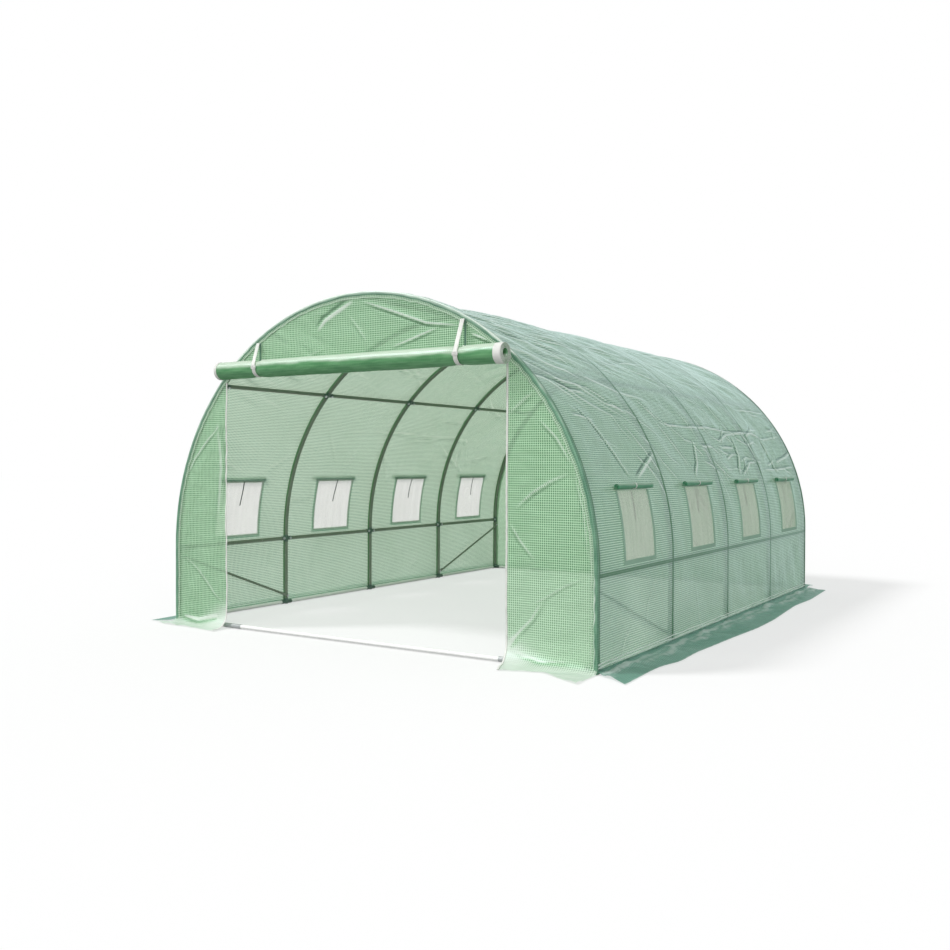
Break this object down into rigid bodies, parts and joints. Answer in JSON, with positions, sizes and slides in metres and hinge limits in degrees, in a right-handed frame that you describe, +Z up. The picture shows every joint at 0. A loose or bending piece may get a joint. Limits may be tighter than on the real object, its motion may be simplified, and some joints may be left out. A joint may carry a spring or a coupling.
{
  "type": "polytunnel greenhouse",
  "caption": "Walk-in tunnel greenhouse: arched tube hoops and rails under a see-through film cover, open doorway with the door rolled up, mesh side windows and ground flaps.",
  "frame": {"origin": "on the ground in the middle of the plan, ground flaps included", "axes": "+Z up, +Y from the open doorway along the tunnel to the back, +X to the right as seen from the doorway"},
  "size_m": [3.44, 4.6, 2],
  "materials": {
    "frame_tube": "satin",
    "base_tube": "satin",
    "fittings": "satin",
    "cover_film": "semi-gloss, see-through",
    "end_film": "semi-gloss, see-through",
    "skirt_film": "semi-gloss, see-through",
    "window_mesh": "fine mesh",
    "window_border": "welded tape",
    "flap_film": "glossy, creased",
    "ties": "woven",
    "white_tape": "woven"
  },
  "bodies": {
    "root": {"back_door": "end_film", "back_gable": "end_film", "back_panel_left": "end_film", "back_panel_right": "end_film", "base_joints": "fittings", "base_rail_back": "base_tube", "base_rail_front": "base_tube", "base_rail_left": "base_tube", "base_rail_right": "base_tube", "base_shoes": "fittings", "corner_braces": "frame_tube", "cover_roof_left": "cover_film", "cover_roof_right": "cover_film", "cover_shoulder_left": "cover_film", "cover_shoulder_right": "cover_film", "cover_side_left": "cover_film", "cover_side_right": "cover_film", "door_binding": "white_tape", "door_roll": "flap_film", "door_straps": "white_tape", "front_gable": "end_film", "front_panel_left": "end_film", "front_panel_right": "end_film", "haunch_rail_left": "frame_tube", "haunch_rail_right": "frame_tube", "hoop_back": "frame_tube", "hoop_fourth": "frame_tube", "hoop_front": "frame_tube", "hoop_second": "frame_tube", "hoop_third": "frame_tube", "rail_fittings": "fittings", "ridge_rail": "frame_tube", "side_rail_left": "frame_tube", "side_rail_right": "frame_tube", "skirt_back": "skirt_film", "skirt_front_left": "skirt_film", "skirt_front_right": "skirt_film", "skirt_left": "skirt_film", "skirt_right": "skirt_film", "window_borders": "window_border", "window_mesh_left": "window_mesh", "window_mesh_right": "window_mesh", "window_roll_left": "flap_film", "window_roll_right": "flap_film", "window_ties": "ties"}
  },
  "joints": []
}
